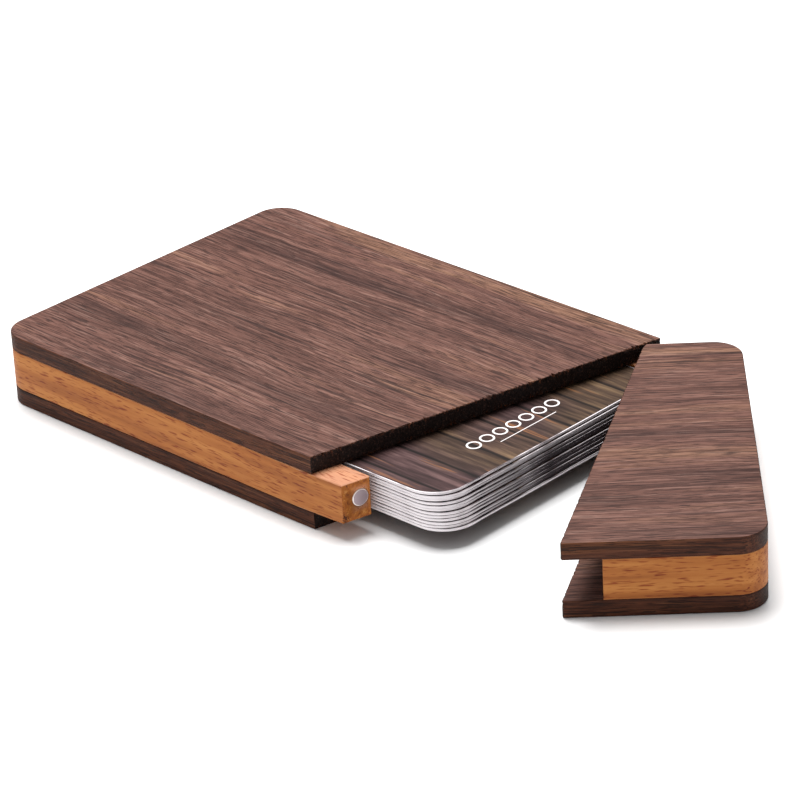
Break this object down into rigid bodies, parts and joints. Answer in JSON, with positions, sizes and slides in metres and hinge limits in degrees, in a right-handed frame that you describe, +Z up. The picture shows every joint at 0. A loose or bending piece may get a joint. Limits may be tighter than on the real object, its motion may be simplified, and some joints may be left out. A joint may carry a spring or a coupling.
{
  "type": "business card case",
  "caption": "Wooden card case with dark faces and pale rails round a pile of cards; a slant-cut end cap swings open on a hidden pin and a magnet holds it shut.",
  "frame": {"origin": "centre of the closed case's underside, on the resting surface", "axes": "+X along the box toward the cap end, +Y from the magnet side to the pin side, +Z up"},
  "size_m": [0.1453, 0.0726, 0.013],
  "materials": {
    "walnut": "oiled, open pores",
    "beech": "oiled, fine flecks",
    "magnet": "nickel plated, matt",
    "pin_steel": "bright",
    "printed_card": null,
    "card_stock": null
  },
  "bodies": {
    "case": {"case_bottom_board": "walnut", "case_top_board": "walnut", "near_rail": "beech", "far_rail": "beech", "back_rail": "beech", "hinge_pin": "pin_steel", "near_rail_magnet": "magnet"},
    "cap": {"cap_bottom_board": "walnut", "cap_top_board": "walnut", "cap_near_block": "beech", "cap_far_block": "beech", "cap_front_strip": "beech", "cap_magnet": "magnet"},
    "card_pile": {"card_01": "card_stock", "card_02": "card_stock", "card_03": "card_stock", "card_04": "card_stock", "card_05": "card_stock", "card_06": "card_stock", "card_07": "card_stock", "card_08": "card_stock", "card_09": "card_stock", "card_10": "card_stock", "card_11": "card_stock"},
    "top_card": {"top_card": "printed_card"}
  },
  "joints": [
    {"name": "cap_swing", "type": "hinge", "parent": "case", "child": "cap", "pos_m": [0.04134, 0.0307, 0.0065], "axis": [0, 0, 1], "range_deg": [-43, 57]},
    {"name": "card_pile_slide", "type": "slide", "parent": "case", "child": "card_pile", "axis": [1, 0, 0], "range_m": [0, 0.0032]},
    {"name": "top_card_slide", "type": "slide", "parent": "case", "child": "top_card", "axis": [1, 0, 0], "range_m": [0, 0.0045]}
  ]
}
